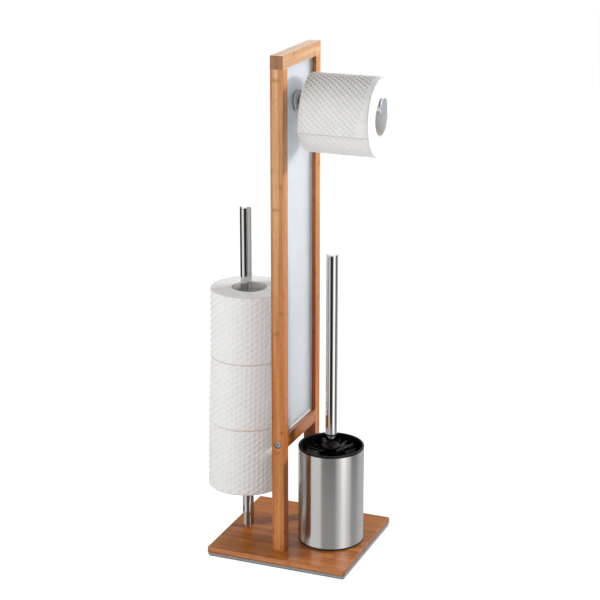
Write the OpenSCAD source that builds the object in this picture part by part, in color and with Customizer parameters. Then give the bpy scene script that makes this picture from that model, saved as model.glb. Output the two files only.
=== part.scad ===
// Bathroom stand: a glazed bamboo frame on a weighted board, with an arm for one roll,
// a pole for spare rolls and a brush in a steel cup.
// Millimetres. X runs along the near edge of the board, Y away from the viewer, Z up.
// The origin is the middle of the board's footprint, on the floor.

/* [Board] */
// Height of the whole stand
total_h = 700; // [690:5:820]
// Width of the board, along X
base_w = 203; // [190:1:260]
// Depth of the board, along Y
base_d = 188; // [170:1:240]
// Thickness of the bamboo board
board_t = 8.9; // [7:0.1:16]
// Thickness of the steel plate under the board
plate_t = 2.5; // [2.5:0.5:5]
// Thickness of the rubber mat under the plate
mat_t = 1.5; // [0.5:0.1:4]
// Radius of the board's corners
base_corner_r = 3; // [1.5:0.5:10]
// Radius of the board's rounded upper and lower edges
base_edge_r = 1.6; // [0.5:0.1:3]
// How far the plate and the mat stay in from the board's edge
plate_inset = 0.6; // [0.2:0.1:3]
// Width of the eased edges of the frame's bamboo pieces
ease = 0.5; // [0.3:0.1:1.5]

/* [Frame] */
// Middle of the frame along X
frame_x = -6; // [-8:0.1:-4]
// Outside depth of the frame, along Y
frame_d = 133.2; // [125:0.2:160]
// Width of a post, along X
post_w = 17.8; // [17:0.1:20]
// Depth of a post, along Y
post_d = 16.3; // [15.5:0.1:20]
// Height of the top rail
top_rail_h = 17.7; // [17:0.1:26]
// Height of the lower rail
low_rail_h = 18.4; // [17.5:0.1:26]
// Clear height between the brush cup's rim and the lower rail
rail_clear = 8.2; // [4:0.1:40]
// Height of the bolts above the underside of the lower rail
bolt_up = 7.5; // [6.5:0.1:8]
// Depth of the glazing groove
groove_depth = 6; // [4:0.5:6.5]

/* [Glass] */
// Thickness of the glass
glass_t = 5; // [4:0.5:6]
// Wall of the glazing strip
strip_wall = 0.6; // [0.4:0.1:1]
// How far the strip stands out of the groove
strip_lip = 1.9; // [1:0.1:3]

/* [Arm] */
// Distance of the arm's axis below the top of the stand
arm_drop = 68.6; // [60:0.1:120]
// Set-off of the arm from the middle of the frame, along Y
arm_set = 0; // [-10:1:10]
// Diameter of the arm
arm_d = 16; // [14:0.5:18]
// Wall of the tubes
tube_wall = 1; // [0.8:0.1:1.5]
// Length of the arm's tube
arm_tube_l = 109; // [80:0.1:130]
// Diameter of the end stop
stop_d = 23.5; // [20:0.5:30]
// Thickness of the end stop
stop_t = 3; // [2.5:0.5:6]
// Diameter of the washers on the glass
rosette_d = 28.6; // [24:0.2:36]
// Thickness of the washers on the glass
rosette_t = 2.5; // [2:0.5:4]
// Diameter of the neck between washer and tube
neck_d = 13; // [11:0.5:13.5]
// Length of that neck
neck_l = 6; // [4:0.5:12]
// Diameter of the threaded rod through the glass
stud_d = 6; // [5:0.5:7]
// Diameter of the hole in the glass
glass_hole_d = 10; // [9:0.5:12]
// Diameter of the domed nut behind the glass
cap_nut_d = 18; // [14:0.5:24]

/* [Spare pole] */
// Diameter of the pole
pole_d = 15.6; // [14:0.2:18]
// Clear width between the frame and a spare roll that sits true on the pole
roll_clear = 10.8; // [9:0.1:14]
// Height of the pole above the board
pole_l = 467.7; // [410:0.1:560]
// Height of the roll support above the board
support_up = 64.1; // [30:0.1:90]
// Diameter of the roll support
support_d = 64; // [55:1:90]
// Thickness of the roll support
support_t = 3; // [2:0.5:5]

/* [Rolls] */
// Diameter of a spare roll
roll_d = 107.8; // [95:0.2:118]
// Width of a spare roll
roll_w = 96.9; // [85:0.1:110]
// Diameter of the hanging roll
hang_roll_d = 103.8; // [90:0.2:118]
// Width of the hanging roll
hang_roll_w = 97; // [85:0.5:105]
// Outside diameter of a roll's cardboard core
core_d = 48.5; // [42:0.5:52]
// Wall of the core
core_wall = 1.3; // [0.8:0.1:2]
// Rounding of a roll's outer edges
roll_round = 1.4; // [1:0.1:4]
// How far each spare roll sits right of the pole's axis, lowest first
roll_shift_x = [-3.4, 1.2, 5.9]; // [-8:0.1:8]
// How far each spare roll sits behind the pole's axis, lowest first
roll_shift_y = [2.1, 1.6, -2.7]; // [-8:0.1:8]
// Thickness of the loose sheet on the hanging roll
sheet_t = 0.5; // [0.4:0.1:1]

/* [Brush cup] */
// Diameter of the steel sleeve
sleeve_d = 91; // [84:0.2:96]
// Height of the steel sleeve
sleeve_h = 134.9; // [110:0.1:150]
// Wall of the steel sleeve
sleeve_wall = 0.8; // [0.6:0.1:1.5]
// How far the sleeve reaches in between the posts
cup_in = 2.2; // [-6:0.1:3]
// Height of the black foot ring
foot_t = 2.5; // [2:0.1:6]
// Height of the liner's rolled rim
rim_t = 3; // [2.4:0.1:5]
// Wall of the liner
liner_wall = 1.5; // [1.2:0.1:2.5]
// Gap between liner and sleeve
liner_gap = 0.9; // [0.5:0.1:2]

/* [Brush] */
// Diameter of the handle
handle_d = 16; // [14:0.2:20]
// Length of the handle's tube
handle_l = 252.1; // [200:0.1:258]
// Height of the tapered lower end
ferrule_h = 8.3; // [6:0.1:12]
// Height of the closed top
handle_cap_h = 3.5; // [3:0.5:8]
// Diameter of the hub's top plate
hub_plate_d = 27; // [22:1:36]
// Diameter of the hub's core
hub_core_d = 18; // [16:0.5:22]
// How far the top of the hub's plate lies below the liner's rim
hub_down = 0.2; // [0:0.1:8]
// Height of the bare nose under the bristles
nose_h = 23.2; // [18:0.1:40]
// Gap between the bristles' tips and the liner
bristle_gap = 2.4; // [1.5:0.1:6]
// Rows of bristles
bristle_rows = 14; // [10:1:16]
// Bristles in one row
bristles_round = 28; // [24:1:30]
// Thickness of a bristle
bristle_t = 0.9; // [0.6:0.1:1.2]

/* [Hidden] */
$fn = 64;

// Clearances
seat_gap = 0.2;      // between a loose piece and what it rests on
hole_fit = 0.25;     // around a bolt or screw in its clearance hole
plug_fit = 0.05;     // around a plug or dowel in its bore
groove_fit = 0.1;    // beside the glazing strip in its groove
top_fit = 0.5;       // above the glazing strip in the top rail's groove
arm_bare = 10.8;     // bare tube between the arm's neck and the hanging roll
end_play = 1.2;      // between the hanging roll and the end stop
hang_gap = 0.3;      // between the arm and the core that hangs on it
over = 1;            // how far a cutter runs past the face it opens

// Heights
plate_z = mat_t;
board_z = plate_z + plate_t;
base_top = board_z + board_t;
foot_z = base_top + seat_gap;
sleeve_z = foot_z + foot_t;
sleeve_top = sleeve_z + sleeve_h;
rim_top = sleeve_top + rim_t;
low_rail_z = rim_top + rail_clear;
low_rail_top = low_rail_z + low_rail_h;
post_top = total_h - top_rail_h;
post_h = post_top - base_top;

// Frame
inner_half = frame_d/2 - post_d;
post_y = frame_d/2 - post_d/2;
groove_w = glass_t + 2*strip_wall + 2*groove_fit;
strip_w = glass_t + 2*strip_wall;
strip_half = inner_half + groove_depth - groove_fit;
strip_z0 = low_rail_top - groove_depth;
strip_z1 = post_top + groove_depth - top_fit;
glass_half = strip_half - strip_wall;
glass_z0 = strip_z0 + strip_wall;
glass_z1 = strip_z1 - strip_wall;

// Bolted joint between lower rail and posts
bolt_d = 5;
bolt_head_d = 8;
bolt_head_h = 4;
bolt_recess = 1;
bolt_socket = 4;
socket_depth = 2.5;
counterbore_d = 9.6;
counterbore_depth = bolt_head_h + bolt_recess;
bolt_z = low_rail_z + bolt_up;
nut_d = 8;
nut_l = 7;
nut_in = 18;                                   // from the post's inner face to the nut's axis
bolt_l = post_d - counterbore_depth + nut_in + nut_d/2 + 2;
bolt_hole_in = nut_in + nut_d/2 + 4;
nut_y = inner_half - nut_in;

// Dowels
rail_dowel_d = 4;
rail_dowel_l = 18;
rail_dowel_x = (post_w/2 + bolt_d/2)/2;         // midway between the bolt and the post's side
rail_dowel_z = low_rail_z + bolt_up - 2;
top_dowel_d = 5;
top_dowel_l = 22;
top_dowel_up = top_rail_h/2;                   // share of the dowel in the top rail
top_dowel_z = post_top - top_dowel_l + top_dowel_up;
top_dowel_edge = 4;                            // from the post's side to the dowel's axis
top_dowel_x = post_w/2 - top_dowel_edge;
top_dowel_y = (inner_half + groove_depth + frame_d/2)/2;
dowel_end = 1;                                 // free depth at a dowel's end

// Screws from below
screw_d = 4;
screw_head_d = 8;
screw_l = 42;
screw_gap = 1;                                 // between the heads of a post's two screws
screw_x = (screw_head_d + screw_gap)/2;
pole_screw_d = 5;
pole_screw_head_d = 9.2;
pole_screw_l = 26;
pole_insert_l = 18;

// Arm
arm_z = total_h - arm_drop;
glass_front = frame_x + glass_t/2;
glass_back = frame_x - glass_t/2;
neck_x = glass_front + rosette_t;
arm_x0 = neck_x + neck_l;
arm_end = arm_x0 + arm_tube_l;
hang_x0 = arm_x0 + arm_bare;
hang_x1 = hang_x0 + hang_roll_w;
stop_x = max(arm_end, hang_x1 + end_play);     // the stop's spigot bridges what the tube is short of
plug_l = 12;
stop_plug_l = 8;
cap_nut_l = 8;
cap_wall = 2;
stud_x0 = glass_back - rosette_t - cap_nut_l + cap_wall;
stud_x1 = neck_x + neck_l + plug_l - cap_wall;

// Spare pole
pole_x = frame_x - post_w/2 - roll_clear - roll_d/2;
pole_top = base_top + pole_l;
pole_cap_h = 4;
support_top = base_top + support_up;
support_hub_d = 26;
support_hub_h = 10;
set_screw_d = 4;
set_screw_z = support_top - support_t - support_hub_h/2;

// Rolls
core_r = core_d/2;
core_in = core_r - core_wall;
hang_z = arm_z + arm_d/2 + hang_gap - core_in;
sheet_end = 19;                                // loose end, degrees below the near side
sheet_wrap = 168;                              // how far the sheet reaches round the roll, degrees
sheet_short = 7;                               // how far the sheet stays from the right end

// Brush cup
sleeve_r = sleeve_d/2;
cup_x = frame_x + post_w/2 - cup_in + sleeve_r;
foot_rib_h = 6;
foot_rib_wall = 2.4;
liner_r = sleeve_r - sleeve_wall - liner_gap;
liner_z = sleeve_z + foot_rib_h + 1.5;
liner_floor_t = 2;
liner_draft = 1.2;                             // how much narrower the liner is at its floor

// Brush, from its tip upwards
tip_z = liner_z + liner_floor_t + seat_gap;
hub_top = rim_top - hub_down;
plate_h = 4;
plate_edge_r = 1.5;
neck_hub_h = 9.3;
neck_hub_d = 9.4;
hub_stud_d = 6;
hub_stud_l = 24;
ferrule_z = hub_top + neck_hub_h;
ferrule_r0 = hub_stud_d/2 + 1.5;               // where the taper ends on the collar
collar_r = ferrule_r0 + 0.3;
collar_h = 2.5;
handle_z = ferrule_z + ferrule_h;
handle_top = handle_z + handle_l;
hub_r = hub_core_d/2;
slice_t = 1.5;                                 // thickness of the bristles' backing
band_z0 = tip_z + nose_h;
band_z1 = hub_top - plate_h - 2;
bristle_r = liner_r - liner_wall - liner_draft - bristle_gap;

// Shapes

// Rectangle with its corners cut off, centred
module eased_rect(w, h, e) {
    polygon([
        [-w/2 + e, -h/2], [w/2 - e, -h/2], [w/2, -h/2 + e], [w/2, h/2 - e],
        [w/2 - e, h/2], [-w/2 + e, h/2], [-w/2, h/2 - e], [-w/2, -h/2 + e]
    ]);
}

// Rectangle with round corners, centred
module round_rect(w, d, r) {
    square([w - 2*r, d], center = true);
    square([w, d - 2*r], center = true);
    for (x = [-1, 1], y = [-1, 1])
        translate([x*(w/2 - r), y*(d/2 - r)]) circle(r);
}

// Rectangle standing on y = 0 with its two upper corners cut off
module eased_top(w, h, e) {
    polygon([[-w/2, 0], [w/2, 0], [w/2, h - e], [w/2 - e, h], [-w/2 + e, h], [-w/2, h - e]]);
}

// Block with its upright and upper edges eased and a sharp foot, standing on z = 0
module eased_block(w, d, h, e) {
    intersection() {
        linear_extrude(h) eased_rect(w, d, e);
        rotate([90, 0, 0]) linear_extrude(d, center = true) eased_top(w, h, e);
        rotate([90, 0, 90]) linear_extrude(w, center = true) eased_top(d, h, e);
    }
}

// Round disc with rolled edges, standing on z = 0
module round_disc(r, t, e) {
    rotate_extrude() {
        square([r - e, t]);
        translate([0, e]) square([r, t - 2*e]);
        for (z = [e, t - e]) translate([r - e, z]) intersection() {
            circle(e);
            translate([0, -e]) square([e, 2*e]);
        }
    }
}

// Thick ring with rolled edges, standing on z = 0
module round_ring(ro, ri, t, eo, ei) {
    rotate_extrude() {
        translate([ri + ei, 0]) square([ro - eo - ri - ei, t]);
        translate([ri, ei]) square([ei, t - 2*ei]);
        translate([ro - eo, eo]) square([eo, t - 2*eo]);
        for (z = [eo, t - eo]) translate([ro - eo, z]) circle(eo);
        for (z = [ei, t - ei]) translate([ri + ei, z]) circle(ei);
    }
}

module tube(r, wall, l) {
    difference() {
        cylinder(r = r, h = l);
        translate([0, 0, -over]) cylinder(r = r - wall, h = l + 2*over);
    }
}

// Countersunk screw, its head's face on z = 0, shank upwards
module csk_screw(d, head_d, l) {
    cylinder(r1 = head_d/2, r2 = d/2, h = (head_d - d)/2);
    cylinder(r = d/2, h = l);
}

// Hole for that screw
module csk_hole(d, head_d, l) {
    translate([0, 0, -over]) cylinder(r = head_d/2 + hole_fit, h = over);
    cylinder(r1 = head_d/2 + hole_fit, r2 = d/2 + hole_fit, h = (head_d - d)/2);
    cylinder(r = d/2 + hole_fit, h = l);
}

// Places children at the four screws under the posts
module at_post_screws() {
    for (y = [-1, 1], x = [-1, 1])
        translate([frame_x + x*screw_x, y*post_y, plate_z]) children();
}

// Places children at the middle of the pole's foot
module at_pole(z = 0) {
    translate([pole_x, 0, z]) children();
}

// Turns children's Z to the arm's direction, +X, starting at x
module along_arm(x) {
    translate([x, arm_set, arm_z]) rotate([0, 90, 0]) children();
}

// Board

module base_board() {
    color("peru") difference() {
        translate([0, 0, board_z + board_t/2]) intersection() {
            linear_extrude(board_t, center = true) round_rect(base_w, base_d, base_corner_r);
            rotate([90, 0, 0]) linear_extrude(base_d, center = true)
                round_rect(base_w, board_t, base_edge_r);
            rotate([90, 0, 90]) linear_extrude(base_w, center = true)
                round_rect(base_d, board_t, base_edge_r);
        }
        at_post_screws() csk_hole(screw_d, screw_head_d, plate_t + board_t + over);
        at_pole(plate_z) csk_hole(pole_screw_d, pole_screw_head_d, plate_t + board_t + over);
    }
}

module under_sheet(z, t, inset) {
    translate([0, 0, z]) linear_extrude(t)
        round_rect(base_w - 2*inset, base_d - 2*inset, base_corner_r);
}

module ballast_plate() {
    color("slategray") difference() {
        under_sheet(plate_z, plate_t, plate_inset);
        at_post_screws() csk_hole(screw_d, screw_head_d, plate_t + over);
        at_pole(plate_z) csk_hole(pole_screw_d, pole_screw_head_d, plate_t + over);
    }
}

module anti_slip_mat() {
    color("dimgray") under_sheet(0, mat_t, 2*plate_inset);
}

module post_screws() {
    color("silver") at_post_screws() csk_screw(screw_d, screw_head_d, screw_l);
}

// Frame

// The near post; the far one is its mirror image
module post() {
    difference() {
        translate([frame_x, -post_y, base_top]) linear_extrude(post_h) eased_rect(post_w, post_d, ease);
        // glazing groove, closed at its foot and open at the top
        translate([frame_x - groove_w/2, -inner_half - groove_depth, strip_z0])
            cube([groove_w, groove_depth + over, post_top - strip_z0 + over]);
        // bolt hole and counterbore
        translate([frame_x, -frame_d/2 - over, bolt_z]) rotate([-90, 0, 0]) {
            cylinder(r = bolt_d/2 + hole_fit, h = post_d + 2*over);
            cylinder(r = counterbore_d/2, h = counterbore_depth + over);
        }
        translate([frame_x + rail_dowel_x, -inner_half - rail_dowel_l/2 - dowel_end, rail_dowel_z])
            rotate([-90, 0, 0]) cylinder(r = rail_dowel_d/2 + plug_fit, h = rail_dowel_l);
        for (x = [-1, 1]) {
            translate([frame_x + x*top_dowel_x, -top_dowel_y, top_dowel_z - dowel_end])
                cylinder(r = top_dowel_d/2 + plug_fit, h = top_dowel_l);
            translate([frame_x + x*screw_x, -post_y, base_top - over])
                cylinder(r = screw_d/2 + plug_fit, h = screw_l + over);
        }
    }
}

module front_post() {
    color("burlywood") post();
}

module rear_post() {
    color("burlywood") mirror([0, 1, 0]) post();
}

module top_rail() {
    color("burlywood") difference() {
        translate([frame_x, 0, post_top]) eased_block(post_w, frame_d, top_rail_h, ease);
        translate([frame_x - groove_w/2, -inner_half - groove_depth, post_top - over])
            cube([groove_w, 2*(inner_half + groove_depth), groove_depth + over]);
        for (x = [-1, 1], y = [-1, 1])
            translate([frame_x + x*top_dowel_x, y*top_dowel_y, post_top - over])
                cylinder(r = top_dowel_d/2 + plug_fit, h = top_dowel_up + dowel_end/2 + over);
    }
}

module lower_rail() {
    color("burlywood") difference() {
        translate([frame_x, inner_half, low_rail_z + low_rail_h/2]) rotate([90, 0, 0])
            linear_extrude(2*inner_half) eased_rect(post_w, low_rail_h, ease);
        translate([frame_x - groove_w/2, -inner_half - over, strip_z0])
            cube([groove_w, 2*inner_half + 2*over, groove_depth + over]);
        for (far_side = [0, 1]) mirror([0, far_side, 0]) {
            translate([frame_x, inner_half - bolt_hole_in, bolt_z]) rotate([-90, 0, 0])
                cylinder(r = bolt_d/2 + hole_fit, h = bolt_hole_in + over);
            translate([frame_x, nut_y, low_rail_z - over])
                cylinder(r = nut_d/2 + plug_fit, h = bolt_up + nut_l/2 + over);
            translate([frame_x + rail_dowel_x, inner_half - rail_dowel_l/2 - dowel_end, rail_dowel_z])
                rotate([-90, 0, 0]) cylinder(r = rail_dowel_d/2 + plug_fit, h = rail_dowel_l);
        }
    }
}

// The near bolt, its head in the counterbore
module bolt() {
    translate([frame_x, -frame_d/2 + bolt_recess, bolt_z]) rotate([-90, 0, 0]) difference() {
        union() {
            round_disc(bolt_head_d/2, bolt_head_h, 0.5);
            cylinder(r = bolt_d/2, h = bolt_head_h + bolt_l);
        }
        translate([0, 0, -over]) cylinder(r = bolt_socket/sqrt(3), h = socket_depth + over, $fn = 6);
    }
}

module rail_bolts() {
    color("silver") {
        bolt();
        mirror([0, 1, 0]) bolt();
    }
}

module barrel_nuts() {
    color("silver") for (y = [-1, 1]) difference() {
        translate([frame_x, y*nut_y, bolt_z - nut_l/2]) cylinder(r = nut_d/2, h = nut_l);
        translate([frame_x, y*nut_y, bolt_z]) rotate([90, 0, 0])
            cylinder(r = bolt_d/2 + plug_fit, h = nut_d + 2*over, center = true);
    }
}

module rail_dowels() {
    color("tan") for (y = [-1, 1])
        translate([frame_x + rail_dowel_x, y*inner_half, rail_dowel_z]) rotate([90, 0, 0])
            cylinder(r = rail_dowel_d/2, h = rail_dowel_l, center = true);
}

module top_dowels() {
    color("tan") for (x = [-1, 1], y = [-1, 1])
        translate([frame_x + x*top_dowel_x, y*top_dowel_y, top_dowel_z])
            cylinder(r = top_dowel_d/2, h = top_dowel_l);
}

// Glass

module glass_panel() {
    color("lightsteelblue") difference() {
        translate([glass_back, -glass_half, glass_z0])
            cube([glass_t, 2*glass_half, glass_z1 - glass_z0]);
        along_arm(glass_back - over) cylinder(r = glass_hole_d/2, h = glass_t + 2*over);
    }
}

module glazing_strip() {
    window_half = inner_half - strip_lip;
    window_z0 = low_rail_top + strip_lip;
    window_z1 = post_top - strip_lip;
    color("lightblue") difference() {
        translate([frame_x - strip_w/2, -strip_half, strip_z0])
            cube([strip_w, 2*strip_half, strip_z1 - strip_z0]);
        translate([glass_back, -glass_half, glass_z0])
            cube([glass_t, 2*glass_half, glass_z1 - glass_z0]);
        translate([frame_x - strip_w/2 - over, -window_half, window_z0])
            cube([strip_w + 2*over, 2*window_half, window_z1 - window_z0]);
    }
}

// Arm

module rosette(x) {
    color("lightgray") difference() {
        along_arm(x) round_disc(rosette_d/2, rosette_t, 0.8);
        along_arm(x - over) cylinder(r = stud_d/2 + plug_fit, h = rosette_t + 2*over);
    }
}

module arm_rosette_front() {
    rosette(glass_front);
}

module arm_rosette_back() {
    rosette(glass_back - rosette_t);
}

module glass_bushing() {
    bushing_wall = (glass_hole_d - stud_d)/2 - 2*plug_fit;
    color("gray") along_arm(glass_back) tube(glass_hole_d/2 - plug_fit, bushing_wall, glass_t);
}

module arm_stud() {
    color("silver") along_arm(stud_x0) cylinder(r = stud_d/2, h = stud_x1 - stud_x0);
}

module arm_root_plug() {
    color("gainsboro") along_arm(neck_x) difference() {
        union() {
            cylinder(r = neck_d/2, h = neck_l);
            cylinder(r = arm_d/2 - tube_wall - plug_fit, h = neck_l + plug_l);
        }
        translate([0, 0, -over])
            cylinder(r = stud_d/2 + plug_fit, h = stud_x1 - neck_x + over);
    }
}

module arm_tube() {
    color("silver") along_arm(arm_x0) tube(arm_d/2, tube_wall, arm_tube_l);
}

module arm_end_stop() {
    spigot_l = stop_x - arm_end + stop_plug_l;
    color("silver") along_arm(stop_x) {
        round_disc(stop_d/2, stop_t, 1);
        translate([0, 0, -spigot_l])
            cylinder(r = arm_d/2 - tube_wall - plug_fit, h = spigot_l + stop_t/2);
    }
}

module arm_cap_nut() {
    nut_r = cap_nut_d/2;
    dome = 3;
    color("silver") difference() {
        translate([glass_back - rosette_t, arm_set, arm_z]) rotate([0, -90, 0]) rotate_extrude() {
            square([nut_r - dome, cap_nut_l]);
            square([nut_r, cap_nut_l - dome]);
            translate([nut_r - dome, cap_nut_l - dome]) intersection() {
                circle(dome);
                square(dome);
            }
        }
        along_arm(stud_x0) cylinder(r = stud_d/2 + plug_fit, h = cap_nut_l + over);
    }
}

// Spare pole

module spare_pole() {
    color("silver") difference() {
        at_pole(base_top) tube(pole_d/2, tube_wall, pole_l - pole_cap_h);
        at_pole(set_screw_z) rotate([0, 90, 0])
            cylinder(r = set_screw_d/2 + plug_fit, h = pole_d);
    }
}

module pole_cap() {
    bevel = 1.2;
    color("silver") at_pole(pole_top - pole_cap_h) {
        rotate_extrude() polygon([
            [0, 0], [pole_d/2, 0], [pole_d/2, pole_cap_h - bevel],
            [pole_d/2 - bevel, pole_cap_h], [0, pole_cap_h]
        ]);
        translate([0, 0, -stop_plug_l])
            cylinder(r = pole_d/2 - tube_wall - plug_fit, h = stop_plug_l + pole_cap_h/2);
    }
}

module pole_insert() {
    color("silver") at_pole(base_top) tube(
        pole_d/2 - tube_wall - plug_fit,
        pole_d/2 - tube_wall - pole_screw_d/2 - 2*plug_fit,
        pole_insert_l);
}

module pole_screw() {
    color("silver") at_pole(plate_z) csk_screw(pole_screw_d, pole_screw_head_d, pole_screw_l);
}

module roll_support() {
    color("silver") difference() {
        at_pole(support_top - support_t) {
            round_disc(support_d/2, support_t, 0.9);
            translate([0, 0, -support_hub_h])
                cylinder(r = support_hub_d/2, h = support_hub_h + support_t/2);
        }
        at_pole(support_top - support_t - support_hub_h - over)
            cylinder(r = pole_d/2 + plug_fit, h = support_hub_h + support_t + 2*over);
        at_pole(set_screw_z) rotate([0, 90, 0])
            cylinder(r = set_screw_d/2 + plug_fit, h = support_hub_d);
    }
}

// Set screw through the hub into the pole's wall
module support_screw() {
    screw_from = pole_d/2 - tube_wall;
    color("dimgray") at_pole(set_screw_z) rotate([0, 90, 0]) translate([0, 0, screw_from])
        difference() {
            cylinder(r = set_screw_d/2, h = support_hub_d/2 - screw_from);
            translate([0, 0, support_hub_d/2 - screw_from - 2])
                cylinder(r = 1.15, h = 2 + over, $fn = 6);
        }
}

// Brush cup

module at_cup(z = 0) {
    translate([cup_x, 0, z]) children();
}

module holder_sleeve() {
    color("silver") at_cup(sleeve_z) tube(sleeve_r, sleeve_wall, sleeve_h);
}

// Floor and foot ring in one, with a rib that centres the sleeve
module holder_foot() {
    rib_r = sleeve_r - sleeve_wall - plug_fit;
    color("black") at_cup(foot_z) {
        round_disc(sleeve_r, foot_t, 0.5);
        translate([0, 0, foot_t/2]) tube(rib_r, foot_rib_wall, foot_rib_h + foot_t/2);
    }
}

// Plastic liner, its rolled rim lying on the top edge of the sleeve
module liner_cup() {
    bead = rim_t/2;
    depth = sleeve_top - liner_z;
    rim_in = liner_r - liner_wall;
    color("black") at_cup(liner_z) rotate_extrude() {
        polygon([
            [0, 0], [liner_r - liner_draft - 2, 0], [liner_r - liner_draft, 2], [liner_r, depth],
            [liner_r, depth + bead], [rim_in, depth + bead],
            [liner_r - liner_wall - liner_draft, liner_floor_t + 1],
            [liner_r - liner_wall - liner_draft - 1, liner_floor_t], [0, liner_floor_t]
        ]);
        translate([rim_in, depth]) square([sleeve_r - rim_in, bead]);
        translate([rim_in + bead, depth]) square([sleeve_r - rim_in - rim_t, rim_t]);
        for (r = [rim_in + bead, sleeve_r - bead])
            translate([r, depth + bead]) circle(bead);
    }
}

// Brush

module brush_handle() {
    color("silver") at_cup(handle_z) tube(handle_d/2, tube_wall, handle_l);
}

module handle_cap() {
    round_top = 1.6;
    cap_r = handle_d/2;
    color("silver") at_cup(handle_top) {
        rotate_extrude() {
            square([cap_r, handle_cap_h - round_top]);
            square([cap_r - round_top, handle_cap_h]);
            translate([cap_r - round_top, handle_cap_h - round_top]) intersection() {
                circle(round_top);
                square(round_top);
            }
        }
        translate([0, 0, -stop_plug_l])
            cylinder(r = cap_r - tube_wall - plug_fit, h = stop_plug_l + handle_cap_h/2);
    }
}

// The rounded lower end: an arc that leaves the handle's side and ends on a small collar
module handle_ferrule() {
    drawn_in = handle_d/2 - ferrule_r0;
    taper_h = ferrule_h - collar_h;
    arc_r = (drawn_in*drawn_in + taper_h*taper_h)/(2*drawn_in);
    color("silver") at_cup(ferrule_z) difference() {
        union() {
            rotate_extrude() intersection() {
                translate([handle_d/2 - arc_r, ferrule_h]) circle(arc_r);
                translate([0, collar_h]) square([handle_d/2, taper_h]);
            }
            round_disc(collar_r, collar_h, 0.9);
            translate([0, 0, ferrule_h/2])
                cylinder(r = handle_d/2 - tube_wall - plug_fit, h = ferrule_h/2 + plug_l);
        }
        translate([0, 0, -over]) cylinder(r = hub_stud_d/2 + plug_fit, h = hub_stud_l/2 + over + dowel_end);
    }
}

module hub_stud() {
    color("silver") at_cup(ferrule_z - hub_stud_l/2) cylinder(r = hub_stud_d/2, h = hub_stud_l);
}

// Turned profile: round nose, core with a recess for the bristle band, plate and flared neck
module brush_hub() {
    recess_r = hub_r - slice_t - plug_fit;
    neck_r = neck_hub_d/2;
    flare = hub_plate_d/2 - plate_edge_r - neck_r;
    color("black") at_cup(0) difference() {
        union() {
            translate([0, 0, tip_z + hub_r]) sphere(r = hub_r);
            translate([0, 0, tip_z + hub_r]) cylinder(r = hub_r, h = band_z0 - tip_z - hub_r);
            translate([0, 0, tip_z + hub_r]) cylinder(r = recess_r, h = hub_top - tip_z - hub_r);
            translate([0, 0, band_z1]) cylinder(r = hub_r, h = hub_top - band_z1);
            translate([0, 0, hub_top - plate_h]) round_disc(hub_plate_d/2, plate_h, plate_edge_r);
            translate([0, 0, hub_top]) rotate_extrude() difference() {
                square([neck_r + flare, neck_hub_h]);
                translate([neck_r + flare, flare]) circle(flare);
                translate([neck_r, flare]) square([flare + over, neck_hub_h]);
            }
        }
        translate([0, 0, ferrule_z - hub_stud_l/2 - dowel_end])
            cylinder(r = hub_stud_d/2 + plug_fit, h = hub_stud_l/2 + dowel_end + over);
    }
}

// Bristles: a band of flat cells round the hub, each with one three-sided strand.
// Rows fan out from drooping at the foot to rising at the top, so no two strands meet.
cell_turn = 360/bristles_round;
row_h = (band_z1 - band_z0)/bristle_rows;
slice_in = (hub_r - slice_t)/cos(cell_turn/2);
tip_share = 0.6;                               // thickness of a strand's tip against its root
droop = -26;                                   // tilt of the lowest row, degrees
rise = 9;                                      // tilt of the highest row, degrees
stray = 2.4;                                   // how far a strand strays from its row, degrees
nose_rows = 3;                                 // rows that shorten towards the tip
nose_short = 9;                                // how much shorter the lowest row is

corners = 6;                                   // of one strand: three at its root, three at its tip

// Even scatter between -1 and 1 that repeats from build to build
function scatter(i, k) = let(s = sin(i*127.1 + k*311.7)*437.58) 2*(s - floor(s)) - 1;
function around(r, a, z) = [r*cos(a), r*sin(a), z];

function cell_tilt(row, i) =
    droop + (rise - droop)*row/(bristle_rows - 1) + stray*scatter(i, 2);
function strand_reach(row, i) =
    bristle_r - hub_r - nose_short*max(0, 1 - row/nose_rows) - 1.5*abs(scatter(i, 3));

// Three corners of a strand, at its root (t = 0) or its tip (t = 1)
function strand_ring(row, col, t) =
    let(
        i = row*bristles_round + col,
        a = (col + 0.5)*cell_turn,
        tilt = cell_tilt(row, i),
        face = hub_r*cos(cell_turn/2),
        z = band_z0 + (row + 0.5 + 0.12*scatter(i, 1))*row_h,
        turn = a + t*stray*scatter(i, 4),
        reach = strand_reach(row, i)*t,
        half = bristle_t*(t == 0 ? 1 : tip_share)/2,
        mid = around(face, a, z) + reach*cos(tilt)*around(1, turn, 0) + [0, 0, reach*sin(tilt)],
        side = [-sin(a), cos(a), 0],
        up = [0, 0, 1]
    )
    [mid - half*side - half*up, mid + half*side - half*up, mid + half*up];

ring_points = [for (row = [0:bristle_rows], col = [0:bristles_round - 1])
    around(hub_r, col*cell_turn, band_z0 + row*row_h)];
inner_points = [for (end = [0, 1], col = [0:bristles_round - 1])
    around(slice_in, col*cell_turn, end == 0 ? band_z0 : band_z1)];
strand_points = [for (row = [0:bristle_rows - 1], col = [0:bristles_round - 1], t = [0, 1])
    each strand_ring(row, col, t)];

function ring_at(row, col) = row*bristles_round + col % bristles_round;
function inner_at(end, col) = len(ring_points) + end*bristles_round + col % bristles_round;
function strand_at(row, col) =
    len(ring_points) + len(inner_points) + corners*(row*bristles_round + col);

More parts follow.
